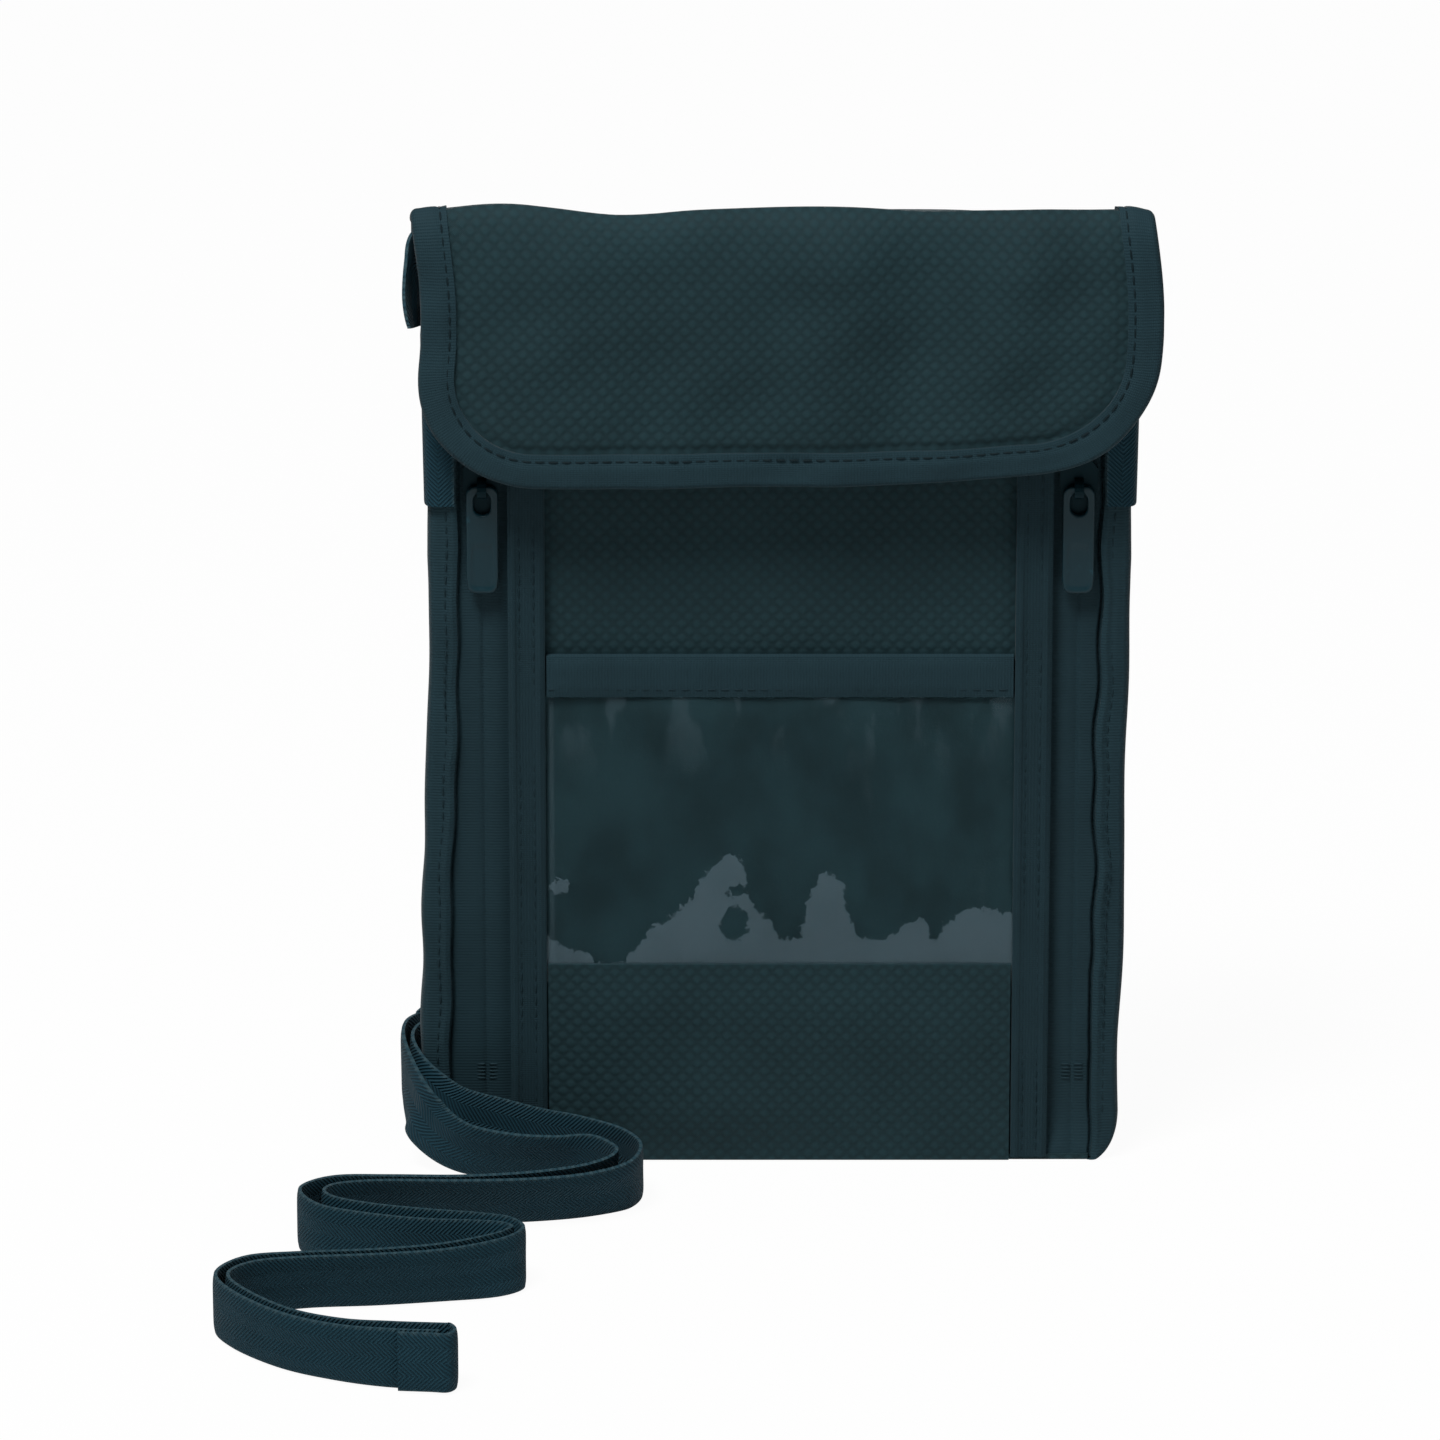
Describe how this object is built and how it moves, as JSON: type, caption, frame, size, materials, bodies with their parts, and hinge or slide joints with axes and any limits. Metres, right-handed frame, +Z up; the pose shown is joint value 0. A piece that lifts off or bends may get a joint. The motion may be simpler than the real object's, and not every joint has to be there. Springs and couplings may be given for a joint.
{
  "type": "neck pouch wallet",
  "caption": "Flat fabric neck pouch with a bound fold-over flap, clear window pocket, side zips with hanging pulls and a folded webbing neck strap.",
  "frame": {"origin": "middle of the bottom edge, on the surface that the pouch stands on", "axes": "+Z up along the pouch's height, +Y from the front towards the back, +X to the right seen from the front"},
  "size_m": [0.1819, 0.1392, 0.1961],
  "materials": {
    "shell_cloth": "dark blue-grey dobby weave, matt",
    "binding_tape": "plain woven tape, matt",
    "shield_cloth": "metallised lining cloth",
    "clear_film": "clear soft plastic film",
    "zip_tape": "smooth woven zip tape",
    "zip_coil": "moulded coil",
    "painted_metal": "satin paint, worn at the rim",
    "webbing": "herringbone webbing",
    "hook_and_loop": "hook-and-loop tape"
  },
  "bodies": {
    "pouch": {"back_panel": "shell_cloth", "shield_lining": "shield_cloth", "divider_panel": "shell_cloth", "front_panel": "shell_cloth", "lower_front_panel": "shell_cloth", "window_sheet": "clear_film", "window_top_binding": "binding_tape", "stay_tape_left": "binding_tape", "stay_tape_right": "binding_tape", "side_binding_left": "binding_tape", "side_binding_right": "binding_tape", "bottom_binding": "binding_tape", "mouth_binding": "binding_tape", "loop_strip": "hook_and_loop", "zip_tape_inner_left": "zip_tape", "zip_tape_outer_left": "zip_tape", "zip_tape_inner_right": "zip_tape", "zip_tape_outer_right": "zip_tape", "zip_coil_inner_left": "zip_coil", "zip_coil_outer_left": "zip_coil", "zip_coil_inner_right": "zip_coil", "zip_coil_outer_right": "zip_coil", "zip_stop_left": "painted_metal", "zip_stop_right": "painted_metal", "strap_anchor_left": "webbing", "strap_anchor_right": "webbing", "neck_strap_left": "webbing", "neck_strap_right": "webbing"},
    "flap": {"flap_outer": "shell_cloth", "flap_lining": "shell_cloth", "flap_binding": "binding_tape", "hook_strip": "hook_and_loop"},
    "slider_left": {"zip_slider_left": "painted_metal"},
    "slider_right": {"zip_slider_right": "painted_metal"},
    "pull_left": {"zip_pull_left": "painted_metal"},
    "pull_right": {"zip_pull_right": "painted_metal"}
  },
  "joints": [
    {"name": "flap_fold", "type": "hinge", "parent": "pouch", "child": "flap", "pos_m": [0, 0.0083, 0.194], "axis": [-1, 0, 0], "range_deg": [0, 180]},
    {"name": "slide_left", "type": "slide", "parent": "pouch", "child": "slider_left", "axis": [0, 0, -1], "range_m": [0, 0.114]},
    {"name": "slide_right", "type": "slide", "parent": "pouch", "child": "slider_right", "axis": [0, 0, -1], "range_m": [0, 0.114]},
    {"name": "pull_swing_left", "type": "hinge", "parent": "slider_left", "child": "pull_left", "pos_m": [-0.0583, -0.00635, 0.1415], "axis": [-1, 0, 0], "range_deg": [0, 85]},
    {"name": "pull_swing_right", "type": "hinge", "parent": "slider_right", "child": "pull_right", "pos_m": [0.0583, -0.00635, 0.1415], "axis": [-1, 0, 0], "range_deg": [0, 85]}
  ]
}
